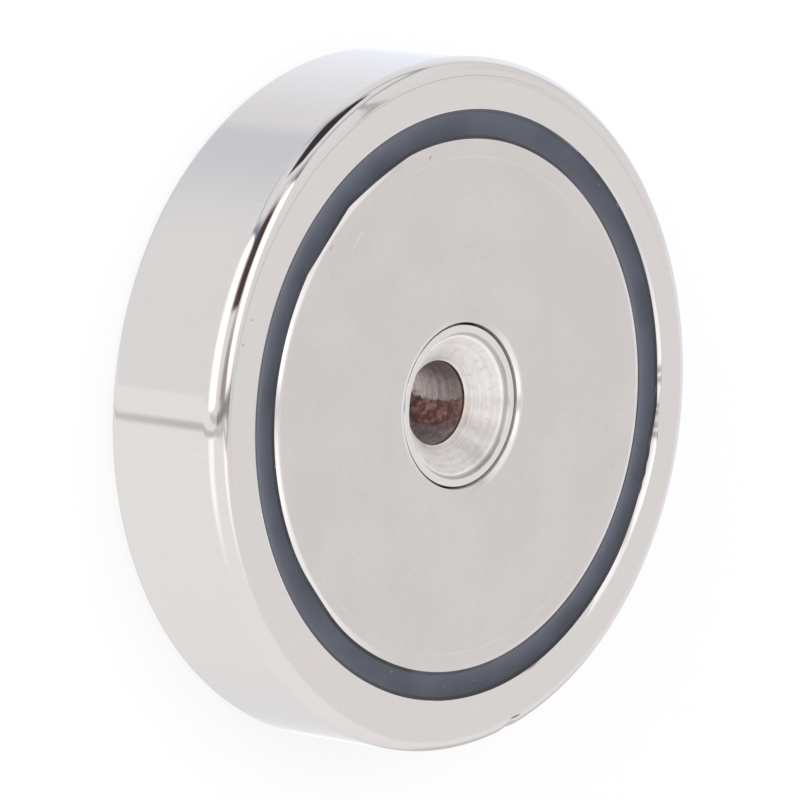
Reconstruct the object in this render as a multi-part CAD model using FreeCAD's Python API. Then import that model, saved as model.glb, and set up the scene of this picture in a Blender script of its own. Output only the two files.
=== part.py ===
import FreeCAD, Part
import os

from FreeCAD import Vector

# A fishing magnet: a turned steel pot with a ring magnet potted in it, and a countersunk
# steel bush in the middle. Every piece is turned about Z. The back face lies on z = 0 and
# the pull face looks up. Lengths are in millimetres.

# The pot
pot_diameter = 75.0
pot_height = 16.0
wall_thickness = 5.7
base_thickness = 6.9
front_edge_round = 2.0
back_edge_round = 1.2
rim_edge_break = 0.2

# The ring magnet, a little below the rim
magnet_diameter = 57.6
magnet_bore = 18.0
magnet_recess = 0.1
magnet_edge_chamfer = 0.4

# The resin between the magnet and the pot's wall
resin_recess = 0.2
meniscus_sag = 0.12

# The bush, which carries an M8 countersunk screw or the shank of an eye bolt
bush_diameter = 17.5
bush_recess = 0.3
bush_edge_break = 0.15
bush_foot_chamfer = 0.4
bush_seat_depth = 1.5
bush_seat_clearance = 0.02
countersink_diameter = 15.5
countersink_wall = 0.35
hole_diameter = 9.0
hole_back_chamfer = 0.5

# Worked out from the sizes above
pot_radius = pot_diameter / 2
cavity_radius = pot_radius - wall_thickness
magnet_radius = magnet_diameter / 2
magnet_top = pot_height - magnet_recess
resin_top = pot_height - resin_recess
bush_radius = bush_diameter / 2
bush_top = pot_height - bush_recess
bush_seat = base_thickness - bush_seat_depth
seat_radius = bush_radius + bush_seat_clearance
hole_radius = hole_diameter / 2
countersink_radius = countersink_diameter / 2
cone_top = bush_top - countersink_wall
cone_bottom = cone_top - (countersink_radius - hole_radius)

AXIS = Vector(0, 0, 1)
SAME = 1e-6


def turned(*corners):
    """A solid turned about Z, from the corners of its half section as (radius, height)."""
    outline = [Vector(radius, 0, height) for radius, height in corners]
    section = Part.Face(Part.makePolygon(outline + outline[:1]))
    return section.revolve(Vector(), AXIS, 360)


def round_edge(solid, radius, height):
    """The circular edge of a turned solid at that radius and height."""
    for edge in solid.Edges:
        circle = edge.Curve
        if not isinstance(circle, Part.Circle):
            continue
        if abs(circle.Radius - radius) < SAME and abs(circle.Center.z - height) < SAME:
            return edge
    raise ValueError(f"no edge at radius {radius}, height {height}")


def steel_pot():
    """The cup: base, wall and rim in one, with a through hole and a seat for the bush."""
    pot = turned(
        (hole_radius, 0),
        (pot_radius, 0),
        (pot_radius, pot_height),
        (cavity_radius, pot_height),
        (cavity_radius, base_thickness),
        (seat_radius, base_thickness),
        (seat_radius, bush_seat),
        (hole_radius, bush_seat),
    )
    pot = pot.makeFillet(front_edge_round, [round_edge(pot, pot_radius, pot_height)])
    pot = pot.makeFillet(back_edge_round, [round_edge(pot, pot_radius, 0)])
    pot = pot.makeChamfer(rim_edge_break, [round_edge(pot, cavity_radius, pot_height)])
    return pot.makeChamfer(hole_back_chamfer, [round_edge(pot, hole_radius, 0)])


def ring_magnet():
    """The sintered ring, ground flat and plated by itself, with all four edges broken."""
    bore_radius = magnet_bore / 2
    ring = turned(
        (bore_radius, base_thickness),
        (magnet_radius, base_thickness),
        (magnet_radius, magnet_top),
        (bore_radius, magnet_top),
    )
    edges = [
        round_edge(ring, radius, height)
        for radius in (bore_radius, magnet_radius)
        for height in (base_thickness, magnet_top)
    ]
    return ring.makeChamfer(magnet_edge_chamfer, edges)


def resin_ring():
    """The cured fill: it laps over the magnet's broken edge and stands higher at both walls."""
    lap_bottom = magnet_top - magnet_edge_chamfer
    lap_radius = magnet_radius - (resin_top - lap_bottom)
    return turned(
        (magnet_radius, base_thickness),
        (cavity_radius, base_thickness),
        (cavity_radius, resin_top),
        ((cavity_radius + lap_radius) / 2, resin_top - meniscus_sag),
        (lap_radius, resin_top),
        (magnet_radius, lap_bottom),
    )


def centre_bush():
    """The turned bush: a foot in the pot's seat, a land, a short wall and a 90 degree cone."""
    bush = turned(
        (hole_radius, bush_seat),
        (bush_radius, bush_seat),
        (bush_radius, bush_top),
        (countersink_radius, bush_top),
        (countersink_radius, cone_top),
        (hole_radius, cone_bottom),
    )
    bush = bush.makeChamfer(bush_foot_chamfer, [round_edge(bush, bush_radius, bush_seat)])
    return bush.makeChamfer(bush_edge_break, [round_edge(bush, bush_radius, bush_top)])


pieces = {
    "steel_pot": steel_pot(),
    "ring_magnet": ring_magnet(),
    "resin_ring": resin_ring(),
    "centre_bush": centre_bush(),
}

os.makedirs("parts", exist_ok=True)
for name, shape in pieces.items():
    if not shape.isValid() or len(shape.Solids) != 1:
        raise ValueError(f"{name} is not one sound solid")
    shape.Solids[0].exportStep(f"parts/{name}.step")
    print(f"{name}: {shape.Volume / 1000:.2f} cubic centimetres")
print(f"straight hole: {cone_bottom - hole_back_chamfer:.2f} mm long, up to z = {cone_bottom:.2f}")
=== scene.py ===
# %% [markdown]
# # A fishing magnet
# The real thing is a steel pot with a ring magnet glued into it. Every piece of it is round: the pot
# and the bush come off a lathe, the magnet is pressed, sintered and ground, and the resin is poured.
# The CAD model gives the sizes. This file gives the pieces their true curves and their finish, and
# then it builds a studio, because polished nickel is seen only by what it mirrors.

# %% Load the frame
import math

import bmesh
import bpy
from mathutils import Matrix, Vector


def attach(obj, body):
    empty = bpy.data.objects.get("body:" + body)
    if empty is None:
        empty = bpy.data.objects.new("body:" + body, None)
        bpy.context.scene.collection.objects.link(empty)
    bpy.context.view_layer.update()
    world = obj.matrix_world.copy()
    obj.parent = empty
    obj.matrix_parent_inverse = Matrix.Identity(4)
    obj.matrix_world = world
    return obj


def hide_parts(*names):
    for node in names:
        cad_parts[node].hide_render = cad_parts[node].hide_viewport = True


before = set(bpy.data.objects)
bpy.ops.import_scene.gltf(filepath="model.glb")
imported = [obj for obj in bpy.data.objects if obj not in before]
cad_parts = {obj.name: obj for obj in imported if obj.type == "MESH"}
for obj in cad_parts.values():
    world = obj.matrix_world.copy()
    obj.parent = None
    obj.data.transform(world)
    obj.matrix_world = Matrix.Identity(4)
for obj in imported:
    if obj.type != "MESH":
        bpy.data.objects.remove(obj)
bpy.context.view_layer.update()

# %% [markdown]
# ## Sizes
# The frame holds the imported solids, so the sizes are read from it and nothing has to be fitted.
# A turned solid is told by four numbers: its smallest and largest radius, and its lowest and highest
# height. The half sections below are drawn in millimetres, as on a workshop drawing.

# %% Read the sizes of the solids
MM = 0.001


def reach(node):
    """A turned node's smallest and largest radius and its lowest and highest height, in millimetres."""
    spots = [vertex.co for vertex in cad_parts[node].data.vertices]
    radii = [math.hypot(spot.x, spot.y) for spot in spots]
    heights = [spot.z for spot in spots]
    return [round(value / MM, 3) for value in (min(radii), max(radii), min(heights), max(heights))]


hole_radius, pot_radius, pot_back, pot_rim = reach("steel_pot")
magnet_bore, magnet_radius, base_top, magnet_face = reach("ring_magnet")
_, cavity_radius, _, _ = reach("resin_ring")
_, bush_radius, bush_foot, bush_face = reach("centre_bush")
print("pot", pot_radius, pot_rim, "magnet", magnet_radius, magnet_face, "bush", bush_radius, bush_face)

# %% [markdown]
# ## Turning a piece
# A Screw modifier could turn a half section into a solid. These pieces are made in mesh code instead,
# because then the section may change a little as it goes round: the resin wanders at its edge and the
# pot has a nick. No real edge is sharp, and on a mirror finish the bright line in a small round is most
# of what is seen, so each corner of a section carries its own radius. The point set just outside each
# round keeps the smooth shading of the flats flat. A tumbled edge rolls off unevenly, further along the
# face than down the side, so a corner may have two lengths in place of a radius.

# %% Draw a half section and turn it
STEP = math.radians(5)
ROLL_STEPS = 12
GUARD = 0.04
TURNS = 400
SHARP = math.radians(35)


def rolled(corner, start, end):
    """Points of an uneven round that begins at start and ends at end."""
    shares = [step / ROLL_STEPS for step in range(ROLL_STEPS + 1)]
    return [start.lerp(corner, share).lerp(corner.lerp(end, share), share) for share in shares]


def rounded(corners):
    """A closed half section as (radius, height) points, from corners given with their rounding."""
    points = []
    for index, (radius, height, rounding) in enumerate(corners):
        corner = Vector((radius, height))
        if not rounding:
            points.append(corner)
            continue
        before = (Vector(corners[index - 1][:2]) - corner).normalized()
        after = (Vector(corners[(index + 1) % len(corners)][:2]) - corner).normalized()
        if isinstance(rounding, tuple):
            start, end = corner + before * rounding[0], corner + after * rounding[1]
            points += [start + before * GUARD, *rolled(corner, start, end), end + after * GUARD]
            continue
        half = before.angle(after) / 2
        run = rounding / math.tan(half)
        centre = corner + (before + after).normalized() * rounding / math.sin(half)
        arm = corner + before * run - centre
        sweep = math.pi - 2 * half
        side = 1 if before.x * after.y - before.y * after.x < 0 else -1
        steps = max(4, round(sweep / STEP))
        points.append(corner + before * (run + GUARD))
        for step in range(steps + 1):
            turn = Matrix.Rotation(side * sweep * step / steps, 2)
            points.append(centre + turn @ arm)
        points.append(corner + after * (run + GUARD))
    return points


def lathe(name, section_at, across=None):
    """A piece turned about Z. section_at gives its closed half section at each angle.

    across is a number for each point of the section, which the piece keeps for its finish.
    """
    sections = [section_at(math.tau * turn / TURNS) for turn in range(TURNS)]
    size = len(sections[0])
    spots = []
    for turn, section in enumerate(sections):
        angle = math.tau * turn / TURNS
        for radius, height in section:
            spots.append((radius * MM * math.cos(angle), radius * MM * math.sin(angle), height * MM))
    faces = []
    for turn in range(TURNS):
        here, there = turn * size, (turn + 1) % TURNS * size
        for spot in range(size):
            following = (spot + 1) % size
            faces.append((here + spot, there + spot, there + following, here + following))
    mesh = bpy.data.meshes.new(name)
    mesh.from_pydata(spots, [], faces)
    shape = bmesh.new()
    shape.from_mesh(mesh)
    bmesh.ops.recalc_face_normals(shape, faces=shape.faces)
    shape.to_mesh(mesh)
    shape.free()
    mesh.shade_smooth()
    mesh.set_sharp_from_angle(angle=SHARP)
    if across:
        mesh.attributes.new("across", "FLOAT", "POINT").data.foreach_set("value", across * TURNS)
    piece = bpy.data.objects.new(name, mesh)
    bpy.context.scene.collection.objects.link(piece)
    print(name, "has", 2 * len(faces), "triangles")
    return piece


# %% [markdown]
# ## The pot
# A cup turned from one piece of steel: a flat back, a straight wall, a rim that is polished level, and
# a large round where wall and rim meet. That round mirrors half the studio in a strip two millimetres
# wide, so its radius matters more than any other. Inside are the seat for the bush and the through hole.
# The cavity is a tenth of a millimetre off centre, and its edge was eased by hand: one stretch of it is
# a wide bevel that catches the light. So the rim's inner corner is worked out at each angle.

# %% Turn the pot
FRONT_ROUND = 2.0
BACK_ROUND = 1.2
HOLE_CHAMFER = 0.5
BREAK = 0.06
SEAT_ROOM = 0.02
NICK_ANGLE = math.radians(289)
NICK_WIDTH = math.radians(1.0)
NICK_DEPTH = 0.25
NICK_PLACE = Vector((pot_radius - 0.35, pot_rim - 0.6))
NICK_PRESS = Vector((0.7, 0.7))

CORNER_REACH = 1.5
CORNER_DEPTH = 1.0
EDGE_ROUND = 0.06
RIM_BEVEL = 0.8
RIM_DROP = 0.32
RIM_BEVEL_START = (0.06, 0.08)
BEVEL_SHARE = 0.3
WIDE_STRETCHES = [(345, 28, 0.6), (25, 25, 0.45), (348, 8, 0.15), (0, 4, -0.5)]
CAVITY_SHIFT = 0.12
CAVITY_TURN = math.radians(20)

seat_radius = bush_radius + SEAT_ROOM
pot_section = rounded(
    [
        (hole_radius + HOLE_CHAMFER, pot_back, BREAK),
        (pot_radius, pot_back, BACK_ROUND),
        (pot_radius, pot_rim, FRONT_ROUND),
        (cavity_radius + RIM_BEVEL, pot_rim, RIM_BEVEL_START),
        (cavity_radius, pot_rim - RIM_DROP, EDGE_ROUND),
        (cavity_radius, base_top, 0),
        (seat_radius, base_top, 0),
        (seat_radius, bush_foot, 0),
        (hole_radius, bush_foot, 0),
        (hole_radius, pot_back + HOLE_CHAMFER, BREAK),
    ]
)


def swell(angle, stretches):
    """What the stretches add at an angle. Each has its middle and width in degrees, and its height."""
    total = 0
    for middle, width, height in stretches:
        away = (math.degrees(angle) - middle + 180) % 360 - 180
        total += height * math.exp(-((away / width) ** 2))
    return total


def cavity_shift(angle):
    """How far the cavity's wall stands outside of its true circle at an angle."""
    return Vector((CAVITY_SHIFT * math.cos(angle - CAVITY_TURN), 0))


def rim_corner(angle):
    """The rim's eased inner corner at an angle, from the rim down to the cavity's wall."""
    share = BEVEL_SHARE + swell(angle, WIDE_STRETCHES)
    corner = Vector((cavity_radius, pot_rim))
    eased = [point for point in pot_section if cavity_radius <= point.x < cavity_radius + CORNER_REACH]
    eased = [point for point in eased if point.y > pot_rim - CORNER_DEPTH]
    return [corner + (point - corner) * share + cavity_shift(angle) for point in eased]


def pot_at(angle):
    """The pot's section, with its eased corner and pressed in a little where it has been knocked."""
    away = (angle - NICK_ANGLE) / NICK_WIDTH
    press = NICK_PRESS * NICK_DEPTH * math.exp(-away * away)
    eased = iter(rim_corner(angle))
    section = []
    for point in pot_section:
        if point.x >= cavity_radius + CORNER_REACH:
            section.append(point - press * math.exp(-((point - NICK_PLACE).length_squared)))
        elif point.x < cavity_radius:
            section.append(point)
        elif point.y > pot_rim - CORNER_DEPTH:
            section.append(next(eased))
        else:
            section.append(point + cavity_shift(angle))
    return section


pot = lathe("pot_body", pot_at)

# %% [markdown]
# ## The magnet
# A thick ring of sintered magnet material, ground flat and plated. Its edges are eased by a shallow
# bevel, which catches the light as a soft pale line. The face stands a tenth of a millimetre under the
# rim, so that the steel rim takes the knocks. It was set in by hand, a little to one side, and so the
# slot round the bush is wider on that side and almost closed on the other.

# %% Turn the magnet
MAGNET_ROUND = 0.4
BEVEL_WIDTH = 0.55
BEVEL_DROP = 0.17
BEVEL_START = (0.15, 0.2)
MAGNET_SHIFT = 0.15
GROUND_BACK = [(122, 13, 0.3), (142, 13, 0.5), (225, 9, 0.3)]

magnet_section = rounded(
    [
        (magnet_bore, base_top, MAGNET_ROUND),
        (magnet_radius, base_top, MAGNET_ROUND),
        (magnet_radius, magnet_face - BEVEL_DROP, EDGE_ROUND),
        (magnet_radius - BEVEL_WIDTH, magnet_face, BEVEL_START),
        (magnet_bore + BEVEL_WIDTH, magnet_face, BEVEL_START[::-1]),
        (magnet_bore, magnet_face - BEVEL_DROP, EDGE_ROUND),
    ]
)


def magnet_shift(angle):
    """How far the magnet's walls stand outside of their true circles at an angle."""
    return Vector((MAGNET_SHIFT * math.cos(angle), 0))


def on_outer_bevel(point):
    """Whether a point of the magnet's section lies on its outer upper bevel."""
    return point.x > magnet_radius - CORNER_REACH and point.y > magnet_face - CORNER_DEPTH


def magnet_at(angle):
    """The magnet's section, with its outer bevel ground back further on a few stretches."""
    share = 1 + swell(angle, GROUND_BACK)
    corner = Vector((magnet_radius, magnet_face))
    section = []
    for point in magnet_section:
        ground = corner + (point - corner) * share if on_outer_bevel(point) else point
        section.append(ground + magnet_shift(angle))
    return section


magnet = lathe("magnet_ring", magnet_at)

# %% [markdown]
# ## The resin
# Potting resin is poured into the slot and hardens with a hollow top: it climbs both walls, onto the
# rim's eased corner and over the magnet's bevel as a thin film, and sinks in the middle. How far it laps
# wanders, so the dark ring isn't made of true circles. In one place its inner edge was wiped straight, in
# another it ran a little further, and on one stretch it covers the rim's bevel with a ragged end. The
# section is therefore worked out at each angle. Each of its points also keeps its share of the way
# across the ring, because the finish changes near both walls.

# %% Pour the resin
SAG = 0.32
HOLLOW = 2.3
FILM = 0.03
FILM_RUN = 0.08
BREATHE = 0.08
WANDER = 0.03
RIM_LAP = 0.06
SPILLS = [(27, 26, 0.22), (328, 10, 0.12), (350, 1.5, 0.10), (346.5, 1.2, 0.14), (343.5, 0.9, 0.10)]
WIPES = [(112, 133, 0.45), (133, 151, 0.8)]
RUNS = [(225, 8, 0.24)]
WALL_STEPS = 6
TOP_STEPS = 26

top_shares = [(1 - math.cos(math.pi * step / TOP_STEPS)) / 2 for step in range(TOP_STEPS + 1)]


def lap_radius_at(angle):
    """The radius of the resin's inner edge, measured from the magnet's own middle."""
    wave = math.sin(3 * angle + 0.6) + 0.6 * math.sin(7 * angle + 2.0) + 0.35 * math.sin(16 * angle)
    radius = magnet_radius - BREATHE * math.sin(angle) ** 2 - WANDER * (1 + wave / 2) / 2
    radius -= swell(angle, RUNS)
    for start, end, share in WIPES:
        middle, half = math.radians(start + end) / 2, math.radians(end - start) / 2
        if abs(angle - middle) < half:
            chord = magnet_radius * math.cos(half) / math.cos(angle - middle)
            radius += (chord - magnet_radius) * share
    return min(radius, magnet_radius)


def on_corner(corner, axis, value):
    """The point of a corner's outline that has this radius (axis 0) or height (axis 1)."""
    for low, high in zip(corner, corner[1:]):
        if min(low[axis], high[axis]) <= value <= max(low[axis], high[axis]) and low[axis] != high[axis]:
            return low.lerp(high, (value - low[axis]) / (high[axis] - low[axis]))
    return corner[0] if abs(value - corner[0][axis]) < abs(value - corner[-1][axis]) else corner[-1]


def resin_at(angle):
    """The resin's section: up the magnet's wall, across the hollow top and down the pot's wall."""
    shift = magnet_shift(angle)
    corner = [point for point in magnet_at(angle) if on_outer_bevel(point)]
    lap = on_corner(corner, 0, lap_radius_at(angle) + shift.x)
    rim, wall = rim_corner(angle), cavity_radius + cavity_shift(angle).x
    rim_lap = RIM_LAP * (1 + 0.4 * math.sin(5 * angle + 1)) + swell(angle, SPILLS)
    outer = on_corner(rim, 0, wall + rim_lap)
    points = [Vector((magnet_radius, base_top)) + shift]
    for step in range(WALL_STEPS):
        points.append(on_corner(corner, 1, corner[0].y + (lap.y - corner[0].y) * step / WALL_STEPS))
    for share in top_shares:
        hollow = SAG * (1 - abs(2 * share - 1) ** HOLLOW)
        point = lap.lerp(outer, share) - Vector((0, hollow))
        film = FILM * min(1, (point.x - lap.x) / FILM_RUN, (outer.x - point.x) / FILM_RUN)
        if point.x < magnet_radius + shift.x:
            point.y = max(point.y, on_corner(corner, 0, point.x).y + film)
        if point.x > wall:
            point.y = max(point.y, on_corner(rim, 0, point.x).y + film)
        points.append(point)
    points.append(Vector((wall, rim[-1].y)))
    points.append(Vector((wall, base_top)))
    return points


resin_across = [0.0] * (WALL_STEPS + 1) + top_shares + [1.0] * 2
resin = lathe("resin_fill", resin_at, resin_across)

# %% [markdown]
# ## The bush
# A small turned bush carries the screw. From outside in, its face has a polished land, a short steep
# wall whose foot is painted darker as painted shade, a lip with a painted highlight and the cone for the
# screw's head, which keeps the rings that the tool left. The foot stands in the pot's seat. Between bush
# and magnet a quarter of a millimetre is open: the thin dark ring in the face.

# %% Turn the bush
COUNTERSINK = 7.75
COUNTERSINK_WALL = 0.35
FOOT_CHAMFER = 0.4
LAND_EDGE = 0.15
LAND_INSIDE = 7.94
LAND_ROUND = 0.08
WALL_FOOT = 7.80
WALL_DEPTH = 0.42
LIP = 7.50
HOLE_EDGE = 0.12
RUST_REACH = 0.09

cone_foot = bush_face - COUNTERSINK_WALL - (COUNTERSINK - hole_radius)


def on_cone(radius):
    """The height of the cone at a radius."""
    return cone_foot + radius - hole_radius


bush_section = rounded(
    [
        (hole_radius, bush_foot, 0),
        (bush_radius - FOOT_CHAMFER, bush_foot, 0),
        (bush_radius, bush_foot + FOOT_CHAMFER, 0),
        (bush_radius, bush_face, LAND_EDGE),
        (LAND_INSIDE, bush_face, LAND_ROUND),
        (WALL_FOOT, bush_face - WALL_DEPTH, 0.05),
        (LIP, on_cone(LIP), 0.1),
        (hole_radius + RUST_REACH, on_cone(hole_radius + RUST_REACH), 0),
        (hole_radius, cone_foot, HOLE_EDGE),
    ]
)
bush = lathe("bush_turned", lambda angle: bush_section)

# %% [markdown]
# ## Building finishes
# A finish is a small tree of nodes round one shader. The helper adds a node, fills its inputs with
# numbers or with other nodes' outputs, and gives back its first output, so a tree reads from top to bottom.
# Object coordinates are metres on the part itself, so marks stay on it wherever the camera stands.

# %% Helpers for node trees
def add(tree, kind, inputs=None, out=0, **settings):
    """Adds a node to a tree and returns one of its outputs. Inputs are values or other outputs."""
    node = tree.nodes.new(kind)
    for name, value in settings.items():
        setattr(node, name, value)
    for key, value in (inputs or {}).items():
        if isinstance(value, bpy.types.NodeSocket):
            tree.links.new(value, node.inputs[key])
        else:
            node.inputs[key].default_value = value
    return node.outputs[out]


def math_node(tree, operation, first, second=0.0):
    return add(tree, "ShaderNodeMath", {0: first, 1: second}, operation=operation)


def noise(tree, where, size, detail=2.0, roughness=0.5):
    """Noise whose blotches are about size metres across, from 0 to 1."""
    inputs = {"Vector": where, "Scale": 1 / size, "Detail": detail, "Roughness": roughness}
    return add(tree, "ShaderNodeTexNoise", inputs, out="Fac")


def ramp(tree, value, low, high, start=0.0, end=1.0):
    """Maps low..high to start..end with soft ends."""
    inputs = {"Value": value, "From Min": low, "From Max": high, "To Min": start, "To Max": end}
    return add(tree, "ShaderNodeMapRange", inputs, interpolation_type="SMOOTHSTEP")


def blend(tree, share, first, second):
    """Mixes two colours."""
    inputs = {0: share, 6: first, 7: second}
    return add(tree, "ShaderNodeMix", inputs, out=2, data_type="RGBA")


def new_finish(name, metallic, roughness, colour):
    """A material with one Principled shader. Returns the material, its tree, the shader and the place."""
    material = bpy.data.materials.new(name)
    material.use_nodes = True
    tree = material.node_tree
    shader = tree.nodes["Principled BSDF"]
    shader.inputs["Metallic"].default_value = metallic
    shader.inputs["Roughness"].default_value = roughness
    shader.inputs["Base Color"].default_value = (*colour, 1)
    where = add(tree, "ShaderNodeTexCoord", out="Object")
    return material, tree, shader, where


def toward(azimuth, elevation=0.0):
    """The direction at an azimuth and an elevation in degrees."""
    azimuth, elevation = math.radians(azimuth), math.radians(elevation)
    flat = math.cos(elevation)
    return Vector((flat * math.cos(azimuth), flat * math.sin(azimuth), math.sin(elevation)))


def along(tree, place, direction):
    """How far a place reaches along a direction."""
    return add(tree, "ShaderNodeVectorMath", {0: place, 1: direction}, out="Value", operation="DOT_PRODUCT")


def length_of(tree, place):
    return add(tree, "ShaderNodeVectorMath", {0: place}, out="Value", operation="LENGTH")


def axis_of(tree, place, axis):
    """The X, Y or Z of a place."""
    return add(tree, "ShaderNodeSeparateXYZ", {0: place}, out=axis)


def radius_of(tree, where):
    """The distance from the part's axis, in metres."""
    flat = add(tree, "ShaderNodeVectorMath", {0: where, 1: (1, 1, 0)}, operation="MULTIPLY")
    return length_of(tree, flat)


def bump(tree, shader, height, distance):
    """Raises the surface by height times distance metres, for marks too fine to model."""
    inputs = {"Height": height, "Distance": distance, "Strength": 1.0}
    tree.links.new(add(tree, "ShaderNodeBump", inputs), shader.inputs["Normal"])


def both(tree, first, second):
    """Where two masks overlap, or a mask times a number."""
    return math_node(tree, "MULTIPLY", first, second)


def line_at(tree, value, middle, half_width):
    """1 where the value is at the middle, falling softly to 0 at half_width from it."""
    away = math_node(tree, "ABSOLUTE", math_node(tree, "SUBTRACT", value, middle))
    return ramp(tree, away, half_width, half_width * 0.3)


MARK_DEPTH = 3.0


def mark(tree, where, spot, size, turn=0.0, height=magnet_face):
    """A small soft oval. Its place, size and height are in millimetres, its turn in degrees."""
    inputs = {
        "Vector": where,
        "Location": (spot[0] * MM, spot[1] * MM, height * MM),
        "Rotation": (0, 0, math.radians(turn)),
        "Scale": (size[0] / 2 * MM, size[1] / 2 * MM, MARK_DEPTH * MM),
    }
    inside = add(tree, "ShaderNodeMapping", inputs, vector_type="TEXTURE")
    return ramp(tree, length_of(tree, inside), 1.2, 0.4)


# %% [markdown]
# ## Polished nickel
# Bright nickel over polished steel mirrors well but never perfectly: it is a little warm in colour, it
# ripples over several millimetres, and handling leaves faint smears. So the colour stays near one tone,
# the roughness wanders a little, and a very shallow bump bends the mirror images. Polishing the round and
# the rim apart left a fine line between them on one side, faint arcs on another and fine streaks across
# the round. One stretch of the rim's inner bevel has a painted highlight, and on two others the lower half
# of the bevel is painted darker as painted shade. The back has the same radii, so a mask for the height
# keeps all this on the front.

# %% The pot's plating
FRONT = (0.012, 0.013)
SEAM_TURN = 130
SEAM_WIDTH = 0.00009
NICK_MARK = ((12.4, -33.9), (1.9, 0.30), 17)
RIM_SPECKS = [((-33.34, 9.0), (0.40, 0.25)), ((-34.4, 6.4), (0.45, 0.30))]
BEVEL_HIGHLIGHT_TURN = 328
BEVEL_HIGHLIGHT_WIDTH = 0.0006
BEVEL_SHADE_TURNS = [(347, 0.9), (20, 0.5)]
BEVEL_SHADE_RADII = (0.0326, 0.0319)
ARC_TURN = 62
POLISH_ARCS = [(0.0352, 0.00022), (0.0364, 0.00035)]


def rim_marks(tree, where, tone, front):
    """Lays the rim's marks over a tone: its seam, nick and specks, a painted highlight and painted shade on
    its bevel, and arcs.
    """
    radius = radius_of(tree, where)
    seam = line_at(tree, radius, (pot_radius - FRONT_ROUND) * MM, SEAM_WIDTH)
    one_side = both(tree, ramp(tree, along(tree, where, toward(SEAM_TURN)), 0.010, 0.030), front)
    tone = blend(tree, both(tree, both(tree, seam, one_side), 0.4), tone, (0.30, 0.28, 0.28, 1))
    tone = blend(tree, both(tree, mark(tree, where, *NICK_MARK), 0.9), tone, (0.10, 0.09, 0.09, 1))
    for spot, size in RIM_SPECKS:
        tone = blend(tree, both(tree, mark(tree, where, spot, size), 0.6), tone, (0.42, 0.26, 0.22, 1))
    # Painted highlight: one stretch of the rim's inner bevel is painted near white.
    bevel_highlight = ramp(tree, along(tree, where, toward(BEVEL_HIGHLIGHT_TURN)), 0.0315, 0.0318, 0.0, 0.95)
    bevel = both(tree, line_at(tree, radius, (cavity_radius + RIM_BEVEL / 2) * MM, BEVEL_HIGHLIGHT_WIDTH), front)
    tone = blend(tree, both(tree, bevel_highlight, bevel), tone, (0.98, 0.96, 0.94, 1))
    # Painted shade: on two stretches the lower half of the rim's bevel is painted darker.
    lower_half = both(tree, ramp(tree, radius, *BEVEL_SHADE_RADII), front)
    for turn, share in BEVEL_SHADE_TURNS:
        bevel_shade = ramp(tree, along(tree, where, toward(turn)), 0.0302, 0.0317, 0.0, share)
        tone = blend(tree, both(tree, bevel_shade, lower_half), tone, (0.36, 0.35, 0.35, 1))
    arc_side = both(tree, ramp(tree, along(tree, where, toward(ARC_TURN)), 0.026, 0.034, 0.0, 0.22), front)
    for arc_radius, half_width in POLISH_ARCS:
        arc = both(tree, line_at(tree, radius, arc_radius, half_width), arc_side)
        tone = blend(tree, arc, tone, (0.46, 0.46, 0.48, 1))
    return tone


def polished_nickel():
    material, tree, shader, where = new_finish("polished_nickel", 1.0, 0.05, (0.70, 0.675, 0.655))
    shader.inputs["Specular Tint"].default_value = (0.84, 0.84, 0.86, 1)
    smear = noise(tree, where, 0.012, detail=4)
    tone = blend(tree, smear, (0.69, 0.665, 0.645, 1), (0.71, 0.685, 0.665, 1))
    front = ramp(tree, axis_of(tree, where, "Z"), *FRONT)
    pink = both(tree, ramp(tree, noise(tree, where, 0.008, detail=3), 0.45, 0.65, 0.0, 0.6), front)
    tone = blend(tree, pink, tone, (0.725, 0.672, 0.655, 1))
    tone = rim_marks(tree, where, tone, front)
    flat = add(tree, "ShaderNodeVectorMath", {0: where, 1: (1, 1, 0.1)}, operation="MULTIPLY")
    streak = both(tree, ramp(tree, noise(tree, flat, 0.0005, detail=2), 0.45, 0.75), front)
    tone = blend(tree, both(tree, streak, 0.10), tone, (0.55, 0.53, 0.52, 1))
    tree.links.new(tone, shader.inputs["Base Color"])
    dull = math_node(tree, "ADD", ramp(tree, smear, 0.3, 0.8, 0.03, 0.06), both(tree, streak, 0.03))
    tree.links.new(dull, shader.inputs["Roughness"])
    ripple = noise(tree, where, 0.006, detail=1)
    bump(tree, shader, ripple, 0.0000012)
    return material


# %% [markdown]
# ## The magnet's plating
# The magnet is plated on its ground face, so it is a touch duller than the pot and a little pinker. A
# faint arc shows where the grinding wheel's edge ran. The outer bevel carries a painted highlight on one
# side, and the bore's bevel on the other. A few marks of use are listed, and each is a soft oval with its
# own tone.

# %% The magnet's plating
GRINDING_ARC = 0.0268
ARC_WIDTH = 0.0001
MAGNET_MARKS = [
    # place, size, turn, tone and strength
    ((-7.7, 26.5), (0.6, 0.25), 60, (0.28, 0.26, 0.26), 0.7),
    ((-22.0, 16.7), (0.9, 0.4), 50, (0.45, 0.43, 0.43), 0.5),
    ((-18.0, 17.6), (3.0, 0.3), 54, (0.80, 0.77, 0.76), 0.4),
    ((-15.7, -24.1), (0.35, 0.3), 0, (0.10, 0.09, 0.09), 0.8),
]


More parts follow.
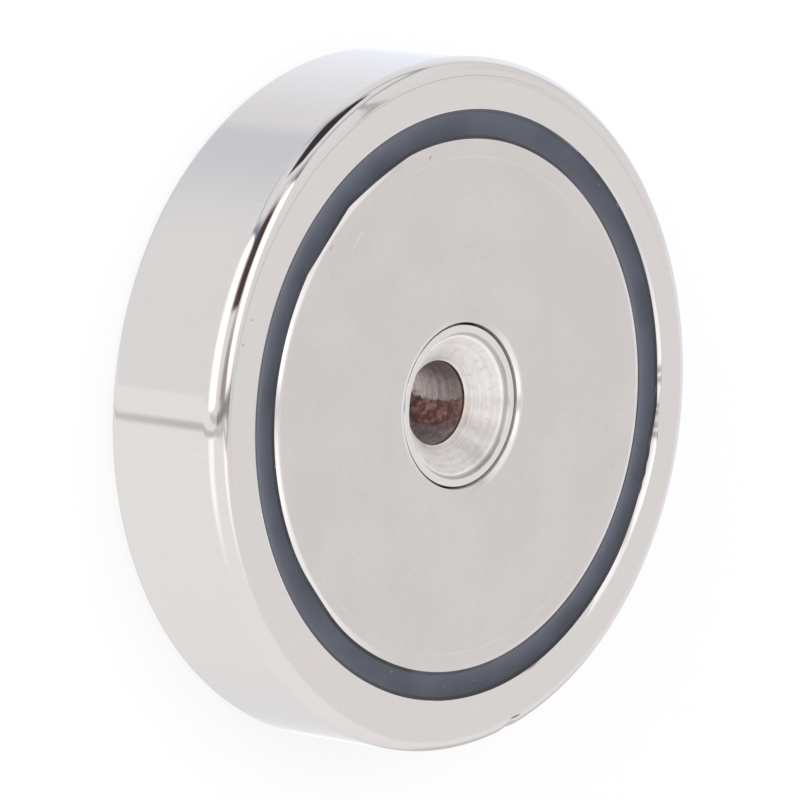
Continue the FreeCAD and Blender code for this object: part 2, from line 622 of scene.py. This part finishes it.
def magnet_plating():
    material, tree, shader, where = new_finish("magnet_plating", 1.0, 0.18, (0.65, 0.62, 0.605))
    smear = noise(tree, where, 0.009, detail=4)
    radius = radius_of(tree, where)
    tone = blend(tree, ramp(tree, smear, 0.3, 0.7), (0.636, 0.600, 0.590, 1), (0.664, 0.634, 0.618, 1))
    outside = ramp(tree, radius, GRINDING_ARC - 2 * ARC_WIDTH, GRINDING_ARC + ARC_WIDTH)
    tone = blend(tree, both(tree, outside, 0.2), tone, (0.69, 0.64, 0.61, 1))
    cloud = ramp(tree, noise(tree, where, 0.02, detail=2), 0.45, 0.6, 0.0, 0.25)
    arc = both(tree, line_at(tree, radius, GRINDING_ARC, ARC_WIDTH), cloud)
    tone = blend(tree, arc, tone, (0.80, 0.77, 0.76, 1))
    sideways = axis_of(tree, where, "X")
    # Painted highlights: the outer bevel is painted pale on one side, and the bore's bevel on the other.
    outer_bevel = line_at(tree, radius, (magnet_radius - 0.45) * MM, 0.0005)
    outer_bevel = both(tree, outer_bevel, ramp(tree, sideways, -0.006, -0.020, 0.0, 0.75))
    bore_bevel = line_at(tree, radius, (magnet_bore + 0.4) * MM, 0.0006)
    bore_bevel = both(tree, bore_bevel, ramp(tree, sideways, 0.003, 0.008, 0.0, 0.8))
    magnet_bevel_highlights = math_node(tree, "MAXIMUM", outer_bevel, bore_bevel)
    tone = blend(tree, magnet_bevel_highlights, tone, (0.90, 0.88, 0.86, 1))
    grain = noise(tree, where, 0.0009, detail=3)
    tone = blend(tree, both(tree, ramp(tree, grain, 0.5, 0.7), 0.06), tone, (0.45, 0.43, 0.42, 1))
    for spot, size, turn, colour, strength in MAGNET_MARKS:
        tone = blend(tree, both(tree, mark(tree, where, spot, size, turn), strength), tone, (*colour, 1))
    tree.links.new(tone, shader.inputs["Base Color"])
    tree.links.new(ramp(tree, smear, 0.3, 0.8, 0.14, 0.22), shader.inputs["Roughness"])
    bump(tree, shader, noise(tree, where, 0.003, detail=3), 0.0000012)
    return material


# %% [markdown]
# ## The resin
# Cured epoxy with a dark filler: blue grey, smooth, with a weak sheen. At both walls it is painted brown
# black as painted shade, the outer wall more so on one side. The ring is painted paler across half of its
# width, the outer half on one side and the inner half on the other, as a painted sheen of its hollow top.
# Dust came down on it too, as a few pale specks.

# %% The resin's finish
PAINTED_SHEEN_TURN = 150
EDGE_SHADE_TURN = 300


def dark_resin():
    material, tree, shader, where = new_finish("dark_resin", 0.0, 0.3, (0.05, 0.055, 0.075))
    cloud = noise(tree, where, 0.007, detail=3)
    across = add(tree, "ShaderNodeAttribute", out="Fac", attribute_name="across")
    # Painted sheen: the outer half of the ring is paler on one side and the inner half on the other.
    outward = along(tree, where, toward(PAINTED_SHEEN_TURN) / (cavity_radius * MM))
    painted_sheen = both(tree, math_node(tree, "SUBTRACT", across, 0.5), outward)
    painted_sheen = math_node(tree, "ADD", painted_sheen, ramp(tree, cloud, 0.3, 0.7, -0.12, 0.12))
    tone = ramp(tree, painted_sheen, -0.45, 0.45)
    tone = blend(tree, tone, (0.027, 0.031, 0.046, 1), (0.076, 0.086, 0.119, 1))
    # Painted shade: both edges of the ring are darkened, and the outer edge most on one side.
    uneven = ramp(tree, noise(tree, where, 0.006), 0.35, 0.6, 0.45, 1.0)
    inner = both(tree, ramp(tree, across, 0.14, 0.09), uneven)
    edge_shade_side = along(tree, where, toward(EDGE_SHADE_TURN) / (cavity_radius * MM))
    outer = both(tree, ramp(tree, across, 0.85, 0.90), ramp(tree, edge_shade_side, -0.1, 0.7, 0.35, 1.0))
    tone = blend(tree, math_node(tree, "MAXIMUM", inner, outer), tone, (0.014, 0.011, 0.013, 1))
    specks = ramp(tree, noise(tree, where, 0.0006, detail=0), 0.86, 0.89)
    tone = blend(tree, specks, tone, (0.22, 0.23, 0.26, 1))
    tree.links.new(tone, shader.inputs["Base Color"])
    tree.links.new(ramp(tree, cloud, 0.3, 0.7, 0.2, 0.32), shader.inputs["Roughness"])
    bump(tree, shader, noise(tree, where, 0.0012, detail=2), 0.000006)
    return material


# %% [markdown]
# ## The turned bush
# The tool leaves rings round the cone, which spread every reflection across them but hardly along them.
# Anisotropy does that, once its direction runs round the axis. The coarser rings are noise that is fed
# with one number, the distance from the axis. The land is polished. The foot of its wall is painted
# darker as painted shade, and a thin line of painted highlight runs round the lip. At one side of the
# hole the cone has an orange mark, where rust has bled a little onto it, painted bright as a glint.

# %% The bush's finish
TOOL_RINGS = 0.0003
CONE_EDGE = (0.00760, 0.00750)
FOOT_SHADE_OUTSIDE = (0.00790, 0.00779)
FOOT_SHADE_INSIDE = (0.00757, 0.00768)
CONE_RUST_GLINT = (4.80, -1.0)


def turned_nickel():
    material, tree, shader, where = new_finish("turned_nickel", 1.0, 0.2, (0.74, 0.72, 0.70))
    radius = radius_of(tree, where)
    inputs = {"W": radius, "Scale": 1 / TOOL_RINGS, "Detail": 3.0, "Roughness": 0.6}
    rings = add(tree, "ShaderNodeTexNoise", inputs, out="Fac", noise_dimensions="1D")
    cone = ramp(tree, radius, *CONE_EDGE)
    bright = blend(tree, ramp(tree, rings, 0.35, 0.65), (0.84, 0.80, 0.78, 1), (0.95, 0.92, 0.90, 1))
    mottled = ramp(tree, noise(tree, where, 0.0007, detail=4), 0.48, 0.70, 0.0, 0.4)
    bright = blend(tree, mottled, bright, (0.64, 0.56, 0.54, 1))
    tone = blend(tree, cone, (0.74, 0.72, 0.70, 1), bright)
    # Painted shade: the foot of the short wall is painted darker.
    foot = both(tree, ramp(tree, radius, *FOOT_SHADE_OUTSIDE), ramp(tree, radius, *FOOT_SHADE_INSIDE))
    tone = blend(tree, foot, tone, (0.60, 0.54, 0.51, 1))
    # Painted highlight: a thin near-white line round the lip.
    lip = line_at(tree, radius, (LIP - 0.03) * MM, 0.00014)
    tone = blend(tree, both(tree, lip, 0.8), tone, (1.0, 1.0, 0.99, 1))
    # An orange mark on the cone: a rust tint, painted bright as a glint.
    stain = mark(tree, where, CONE_RUST_GLINT, (0.7, 2.2), height=on_cone(CONE_RUST_GLINT[0]))
    stain = both(tree, stain, ramp(tree, noise(tree, where, 0.0006, detail=3), 0.35, 0.6, 0.1, 0.5))
    tone = blend(tree, stain, tone, (0.86, 0.60, 0.40, 1))
    tree.links.new(tone, shader.inputs["Base Color"])
    inside = ramp(tree, radius, 0.0080, 0.0078)
    tree.links.new(ramp(tree, inside, 0, 1, 0.08, 0.45), shader.inputs["Roughness"])
    shader.inputs["Anisotropic"].default_value = 0.85
    shader.inputs["Anisotropic Rotation"].default_value = 0.25
    round_axis = add(tree, "ShaderNodeTangent", direction_type="RADIAL", axis="Z")
    tree.links.new(round_axis, shader.inputs["Tangent"])
    bump(tree, shader, both(tree, rings, cone), 0.000006)
    return material


# %% [markdown]
# ## The hole
# The hole was drilled, and the plating hardly reaches into it. Its wall is dull steel with the drill's
# rings, and rust has started along one side, where water stood. It has a blister with a dark outline, and
# below it the wall is stained grey. The masks are made from the place in the hole, with the edges broken
# up by noise, so the pattern is the same at each run.

# %% The finish of the hole's wall
BLISTER_MIDDLE = (0.0045, -0.0013, 0.0075)
BLISTER_SIZE = (0.02, 0.0014, 0.0031)
STAIN_LINE = -0.0028
BARE_HEIGHT = 0.0080
DRILL_RINGS = 0.0006


def rusty_hole():
    material, tree, shader, where = new_finish("rusty_hole", 0.6, 0.5, (0.3, 0.27, 0.26))
    grain = noise(tree, where, 0.0009, detail=5, roughness=0.65)
    fine = noise(tree, where, 0.0008, detail=4, roughness=0.55)
    across = axis_of(tree, where, "Y")
    depth = axis_of(tree, where, "Z")
    ragged = ramp(tree, grain, 0.25, 0.75, -0.0004, 0.0004)
    place = math_node(tree, "ADD", across, ragged)
    ends = math_node(tree, "ABSOLUTE", math_node(tree, "SUBTRACT", depth, BARE_HEIGHT))
    rust_line = ramp(tree, ends, 0.0015, 0.0040, -0.0002, 0.0003)
    above = ramp(tree, math_node(tree, "SUBTRACT", place, rust_line), -0.0001, 0.0003)
    below = ramp(tree, place, STAIN_LINE + 0.0002, STAIN_LINE - 0.0003)
    steps = {"W": depth, "Scale": 1 / DRILL_RINGS, "Detail": 2.0, "Roughness": 0.6}
    drilled = add(tree, "ShaderNodeTexNoise", steps, out="Fac", noise_dimensions="1D")
    rings = ramp(tree, math_node(tree, "ADD", both(tree, drilled, 0.6), both(tree, grain, 0.4)), 0.35, 0.65)

    settings = {"Vector": where, "Location": BLISTER_MIDDLE, "Scale": BLISTER_SIZE}
    inside = add(tree, "ShaderNodeMapping", settings, vector_type="TEXTURE")
    away = math_node(tree, "ADD", length_of(tree, inside), ramp(tree, grain, 0.25, 0.75, -0.15, 0.15))
    blister = ramp(tree, away, 1.15, 0.85)
    outline = line_at(tree, away, 1.0, 0.2)

    steel = blend(tree, rings, (0.50, 0.44, 0.42, 1), (0.72, 0.66, 0.63, 1))
    steel = blend(tree, ramp(tree, fine, 0.45, 0.7, 0.0, 0.45), steel, (0.42, 0.32, 0.32, 1))
    steel = blend(tree, ramp(tree, across, 0.0018, 0.0042, 0.0, 0.5), steel, (0.38, 0.30, 0.31, 1))
    rust = blend(tree, ramp(tree, fine, 0.3, 0.7), (0.15, 0.072, 0.065, 1), (0.29, 0.18, 0.165, 1))
    mottle = blend(tree, ramp(tree, fine, 0.4, 0.75), (0.185, 0.08, 0.07, 1), (0.52, 0.32, 0.29, 1))
    stain = blend(tree, ramp(tree, fine, 0.3, 0.7), (0.16, 0.125, 0.13, 1), (0.29, 0.24, 0.25, 1))
    tone = blend(tree, blister, rust, mottle)
    tone = blend(tree, both(tree, outline, 0.55), tone, (0.07, 0.04, 0.04, 1))
    tone = blend(tree, above, tone, steel)
    tone = blend(tree, below, tone, stain)
    lip = ramp(tree, depth, (cone_foot - 0.22) * MM, (cone_foot - 0.08) * MM)
    tone = blend(tree, lip, tone, (0.06, 0.03, 0.026, 1))
    tree.links.new(tone, shader.inputs["Base Color"])
    tree.links.new(ramp(tree, above, 0, 1, 0.0, 0.8), shader.inputs["Metallic"])
    tree.links.new(ramp(tree, above, 0, 1, 0.8, 0.45), shader.inputs["Roughness"])
    bump(tree, shader, grain, 0.00006)
    return material


# %% [markdown]
# ## The slot round the bush
# The narrow slot between bush and magnet holds dust and old grease. Its walls are painted a dull grey in
# place of the bright plating, so the thin ring in the face reads as dark and not as a second mirror.

# %% The slot's finish
def slot_grime():
    material, tree, shader, where = new_finish("slot_grime", 0.0, 0.75, (0.2, 0.18, 0.17))
    dust = noise(tree, where, 0.0008, detail=4)
    tone = blend(tree, dust, (0.34, 0.31, 0.30, 1), (0.62, 0.57, 0.54, 1))
    tree.links.new(tone, shader.inputs["Base Color"])
    bump(tree, shader, dust, 0.00003)
    return material


# %% Give the pieces their finishes and hang them on the frame
CLOSE = 0.01


def in_hole(radius, height):
    """Whether a face lies on the hole's wall, on its rusty lip or on its back chamfer."""
    if height < HOLE_CHAMFER:
        return radius < hole_radius + HOLE_CHAMFER * 0.9
    return radius < hole_radius + RUST_REACH and height < on_cone(hole_radius + RUST_REACH)


def on_magnet_bore(radius, height):
    """Whether a face lies on the magnet's bore, under its rolled edge."""
    return radius < magnet_bore + MAGNET_SHIFT + CLOSE and height < magnet_face - BEVEL_DROP - EDGE_ROUND


def on_bush_side(radius, height):
    """Whether a face lies on the bush's side, under the edge of its land."""
    return radius > bush_radius - CLOSE and height < bush_face - LAND_EDGE


def finish(piece, outside, *others):
    """Gives a piece its finish, and other finishes to the faces that their tests pick."""
    piece.data.materials.append(outside)
    for number, (material, picks) in enumerate(others, 1):
        piece.data.materials.append(material)
        for face in piece.data.polygons:
            radius = math.hypot(face.center.x, face.center.y) / MM
            if picks(radius, face.center.z / MM):
                face.material_index = number


hole_wall = rusty_hole()
grime = slot_grime()
finish(pot, polished_nickel(), (hole_wall, in_hole))
finish(magnet, magnet_plating(), (grime, on_magnet_bore))
finish(resin, dark_resin())
finish(bush, turned_nickel(), (hole_wall, in_hole), (grime, on_bush_side))

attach(pot, "root")
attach(magnet, "root")
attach(resin, "root")
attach(bush, "root")
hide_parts("steel_pot")
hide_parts("ring_magnet")
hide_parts("resin_ring")
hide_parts("centre_bush")
print("dressed", [piece.name for piece in (pot, magnet, resin, bush)])

# %% [markdown]
# ## The studio that the metal mirrors
# Polished nickel has no look of its own: it shows the room. The world is therefore a small studio that
# only reflected rays see, made of soft-edged cards on a sphere of directions. Each card is named by its
# corners as (azimuth, elevation) in degrees. A direction is on a card when it lies inside of every plane
# through two neighbouring corners and the middle of the sphere, which is one dot product for each edge.

# %% Cards on a sphere of directions
STRIP_END = 0.03


def fade_in(tree, look, normal, fade):
    """0 behind a plane through the sphere's middle and 1 before it, with a fade across it."""
    across = along(tree, look, normal / fade)
    return add(tree, "ShaderNodeMath", {0: across, 1: 0.5}, operation="ADD", use_clamp=True)


def card(tree, look, under, corners, colour, softness):
    """Lays a card over the studio so far. Softness is each edge's fade, in degrees."""
    spots = [toward(*corner) for corner in corners]
    middle = sum(spots, Vector()).normalized()
    mask = None
    for index, spot in enumerate(spots):
        edge = spot.cross(spots[(index + 1) % len(spots)]).normalized()
        if edge.dot(middle) < 0:
            edge.negate()
        step = fade_in(tree, look, edge, math.sin(math.radians(softness[index])))
        mask = step if mask is None else math_node(tree, "MULTIPLY", mask, step)
    return blend(tree, ramp(tree, mask, 0.0, 1.0), under, (*colour, 1))


def strip(tree, look, under, bends, colour, width):
    """Lays a thin strip over the studio so far, such as a frame's tube, from bend to bend."""
    spots = [toward(*bend) for bend in bends]
    mask = None
    for spot, following in zip(spots, spots[1:]):
        side = spot.cross(following).normalized()
        across = along(tree, look, side / math.sin(math.radians(width)))
        across = math_node(tree, "ABSOLUTE", across)
        part = add(tree, "ShaderNodeMath", {0: 1.2, 1: across}, operation="SUBTRACT", use_clamp=True)
        for end in (side.cross(spot), following.cross(side)):
            part = math_node(tree, "MULTIPLY", part, fade_in(tree, look, end, STRIP_END))
        mask = part if mask is None else math_node(tree, "MAXIMUM", mask, part)
    return blend(tree, ramp(tree, mask, 0.0, 1.0), under, (*colour, 1))


# %% [markdown]
# The lower half of the sphere is a pale table and the upper half a pale room. In front of them hang two
# softboxes with dark frames, a window's glow, and two dark gaps where no card stands. The dark gaps matter
# as much as the lights: a mirror with nothing dark to show looks like white plastic. The strips are the
# thin tubes and seams between the cards, which draw the fine lines in the pot's round.

# %% Hang the studio
ROOM = (0.98, 0.985, 1.0, 1)
TABLE = (1.07, 1.07, 1.08, 1)
TABLE_EDGE = (-0.113, 1, 0.086)
TABLE_OFFSET = 0.015
TABLE_FADE = 0.012
BACKDROP = (0.96, 0.96, 0.965)
CLOTH_SEAM = (0.72, 0.71, 0.70)
CLOTH_SEAM_WIDTH = 1.4

LOW_CARDS = [
    # the window's glow
    ([(-24, -72), (65, -66), (50, -2), (-14, 12)], (1.22, 1.26, 1.36), [30, 45, 15, 13]),
    # shade beside it
    ([(76, -72), (86, -4), (113, -4), (109, -75)], (0.82, 0.85, 0.92), [7, 12, 31, 10]),
    # the brownish edge of the table
    ([(316, -3), (340, -7), (349, -34), (318, -35)], (0.84, 0.81, 0.80), [8, 8, 5, 8]),
]
LOW_STRIPS = [
    # the lower end of a seam of the table cloth
    ([(192, -4), (193, -45), (195, -62)], CLOTH_SEAM, CLOTH_SEAM_WIDTH),
]
CARDS = [
    # a dim backdrop, which the flat faces show
    ([(315, 20), (35, 20), (40, 62), (310, 66)], BACKDROP, [14, 14, 12, 14]),
    # the glow of the lit table
    ([(193, -4), (225, -3), (217, 25), (191, 27)], (1.39, 1.41, 1.41), [18, 35, 16, 2]),
    # the key softbox and its frame
    ([(137, -9), (186, -10), (185, 28), (130, 20)], (1.8, 1.8, 1.8), [30, 2, 15, 3]),
    ([(131, -12), (133, -13), (135, 32), (128, 30)], (0.30, 0.34, 0.43), [5, 2, 3, 6]),
    # the wall above it
    ([(154, 56), (187, 51), (206, 79), (166, 87), (144, 57)], (0.48, 0.41, 0.39), [22, 5, 4, 20, 5]),
    # the top softbox, the glow round it and its frame
    ([(0, 69), (78, 70), (101, 60), (200, 84), (295, 65)], (1.50, 1.50, 1.50), [5, 6, 7, 17, 14]),
    ([(39, 77), (93, 51), (111, 46), (116, 54), (187, 82)], (1.8, 1.8, 1.8), [2, 4, 3, 7, 5]),
    ([(108, 38), (89, 56), (85, 51), (100, 39)], (0.30, 0.29, 0.28), [2, 2, 8, 6]),
    # the brown gap between the softboxes
    ([(125, 20), (113, 41), (129, 60), (144, 64), (156, 32)], (0.10, 0.065, 0.062), [10, 3, 2, 2, 20]),
    # the dark gap beside the key softbox
    (
        [(104, 27), (114, 10), (95, -12), (85, -7), (77, 10), (94, 27)],
        (0.05, 0.05, 0.065),
        [2, 6, 13, 5, 3, 5],
    ),
]
STRIPS = [
    # the horizon under the window
    ([(345, 1), (8, -2), (32, 5), (59, 9)], (0.84, 0.85, 0.88), 5),
    # the frame round the dark gap
    ([(59, 5), (63, 16), (74, 30), (87, 43), (104, 42)], (0.55, 0.55, 0.58), 3.5),
    ([(58, 6), (69, -1), (85, -2), (91, -13), (101, -22)], (0.50, 0.50, 0.55), 3),
    ([(104, 37), (112, 28), (118, 24), (130, 20)], (0.74, 0.72, 0.76), 2),
    ([(109, -28), (116, -24), (124, -17), (130, -7)], (0.66, 0.67, 0.74), 2.8),
    # a cord that hangs down from it
    ([(75, 31), (63, 43), (42, 50), (24, 51), (8, 48)], (0.60, 0.59, 0.60), 1.5),
    # the two seams of the table cloth
    ([(352, 62), (327, 83), (204, 79), (190, 42)], (0.36, 0.36, 0.37), 2.2),
    ([(190, 42), (188, 15), (187, 5)], (0.75, 0.75, 0.74), 1.5),
    ([(354, 55), (325, 77), (246, 83), (202, 66), (193, 36), (192, -4)], CLOTH_SEAM, CLOTH_SEAM_WIDTH),
]

world = bpy.data.worlds.new("studio")
bpy.context.scene.world = world
world.use_nodes = True
sky = world.node_tree
sky.nodes.clear()
look = add(sky, "ShaderNodeTexCoord", out="Generated")
side = ramp(sky, along(sky, look, TABLE_EDGE), -TABLE_OFFSET - TABLE_FADE, -TABLE_OFFSET + TABLE_FADE)
lower = blend(sky, side, TABLE, ROOM)
for corners, colour, softness in LOW_CARDS:
    lower = card(sky, look, lower, corners, colour, softness)
for bends, colour, width in LOW_STRIPS:
    lower = strip(sky, look, lower, bends, colour, width)
studio = lower
for corners, colour, softness in CARDS:
    studio = card(sky, look, studio, corners, colour, softness)
for bends, colour, width in STRIPS:
    studio = strip(sky, look, studio, bends, colour, width)

# %% [markdown]
# Most reflected rays look at the bare backdrop or far down, where few cards hang. A Mix Shader whose
# factor is exactly 0 or 1 skips the nodes that it doesn't need, so two plain tests on the direction send
# those rays to a shorter tree that holds the cards hanging there. The camera sees plain white where
# nothing stands, and matt surfaces are lit by an even pale sky, so the world gives each kind of ray its own
# share.

# %% Share the world out by direction and by kind of ray
AMBIENT = 0.62
FAR_DOWN = -0.6
BARE_MIDDLE = (355, 42)
BARE_REACH = 9.0


def background(colour, strength=1.0):
    """A world shader of one colour, or of a colour for each direction."""
    return add(sky, "ShaderNodeBackground", {"Color": colour, "Strength": strength})


down = math_node(sky, "LESS_THAN", axis_of(sky, look, "Z"), FAR_DOWN)
mirrored = add(sky, "ShaderNodeMixShader", {0: down, 1: background(studio), 2: background(lower)})
ahead = along(sky, look, toward(*BARE_MIDDLE))
bare = math_node(sky, "GREATER_THAN", ahead, math.cos(math.radians(BARE_REACH)))
mirrored = add(sky, "ShaderNodeMixShader", {0: bare, 1: mirrored, 2: background((*BACKDROP, 1))})

rays = sky.nodes.new("ShaderNodeLightPath")
even = background((1, 1, 1, 1), AMBIENT)
light = add(sky, "ShaderNodeMixShader", {0: rays.outputs["Is Glossy Ray"], 1: even, 2: mirrored})
white_to = math_node(sky, "MAXIMUM", rays.outputs["Is Camera Ray"], rays.outputs["Is Transmission Ray"])
light = add(sky, "ShaderNodeMixShader", {0: white_to, 1: light, 2: background((1, 1, 1, 1))})
world_output = sky.nodes.new("ShaderNodeOutputWorld")
sky.links.new(light, world_output.inputs["Surface"])
print("studio of", len(sky.nodes), "nodes")

# %% [markdown]
# ## Floor, lamps and camera
# The part lies on its back on a pale floor. The floor is white to the camera and keeps a soft shadow.
# To other rays it is clear, so the wall of the pot mirrors the studio below it and the sky lights the
# hole from both ends, as when it stands on its edge. Seen from underneath the floor is clear too. It lies
# a hair's breadth under the pot's back, so that the two never fight for the same place.

# %% The floor
FLOOR_HALF = 3.0
FLOOR_GAP = 0.00005
SHADOW_SHARE = 0.18

floor_mesh = bpy.data.meshes.new("floor")
floor_corners = [(-1, -1), (1, -1), (1, 1), (-1, 1)]
floor_spots = [(FLOOR_HALF * x, FLOOR_HALF * y, -FLOOR_GAP) for x, y in floor_corners]
floor_mesh.from_pydata(floor_spots, [], [(0, 1, 2, 3)])
floor = bpy.data.objects.new("floor", floor_mesh)
bpy.context.scene.collection.objects.link(floor)
paint = bpy.data.materials.new("floor_white")
paint.use_nodes = True
tree = paint.node_tree
tree.nodes.clear()
rays = tree.nodes.new("ShaderNodeLightPath")
matt = add(tree, "ShaderNodeBsdfDiffuse", {"Color": (0.9, 0.9, 0.9, 1)})
white = add(tree, "ShaderNodeEmission", {"Color": (1, 1, 1, 1), "Strength": 1.0})
surface = add(tree, "ShaderNodeMixShader", {0: 1 - SHADOW_SHARE, 1: matt, 2: white})
clear = add(tree, "ShaderNodeBsdfTransparent")
behind = add(tree, "ShaderNodeNewGeometry", out="Backfacing")
bounced = math_node(tree, "MAXIMUM", rays.outputs["Is Glossy Ray"], rays.outputs["Is Diffuse Ray"])
passes = math_node(tree, "MAXIMUM", behind, bounced)
surface = add(tree, "ShaderNodeMixShader", {0: passes, 1: surface, 2: clear})
ending = tree.nodes.new("ShaderNodeOutputMaterial")
tree.links.new(surface, ending.inputs["Surface"])
floor_mesh.materials.append(paint)

# %% Two soft lamps
def lamp(name, direction, distance, size, power):
    """A square area lamp that looks at the part and that mirrors don't see."""
    data = bpy.data.lights.new(name, "AREA")
    data.size = size
    data.energy = power
    light = bpy.data.objects.new(name, data)
    bpy.context.scene.collection.objects.link(light)
    light.location = direction * distance
    light.rotation_euler = direction.to_track_quat("Z", "Y").to_euler()
    light.visible_glossy = False
    return light


lamp("key_lamp", toward(160, 35), 1.0, 0.7, 4.0)
lamp("top_lamp", toward(80, 75), 1.0, 0.7, 4.0)

# %% [markdown]
# The photograph shows the part standing on its edge. Here it lies on its back, so the camera looks down
# on it and is rolled until the part's +Y is up in the picture. The two pictures are then the same.

# %% The camera
AIM = Vector((-0.00983, 0.00067, 0.016))
CAMERA_AZIMUTH = 174.853
CAMERA_ELEVATION = 42.445
CAMERA_DISTANCE = 0.7935
LENS = 336.4

back = toward(CAMERA_AZIMUTH, CAMERA_ELEVATION)
up = back.cross(Vector((1, 0, 0))).normalized()
right = up.cross(back)
camera_data = bpy.data.cameras.new("camera")
camera_data.lens = LENS
camera_data.sensor_width = 36.0
camera_data.clip_start = 0.01
camera = bpy.data.objects.new("camera", camera_data)
bpy.context.scene.collection.objects.link(camera)
turn = Matrix((right, up, back)).transposed().to_4x4()
camera.matrix_world = Matrix.Translation(AIM + back * CAMERA_DISTANCE) @ turn
bpy.context.scene.camera = camera
bpy.context.scene.view_settings.view_transform = "Standard"
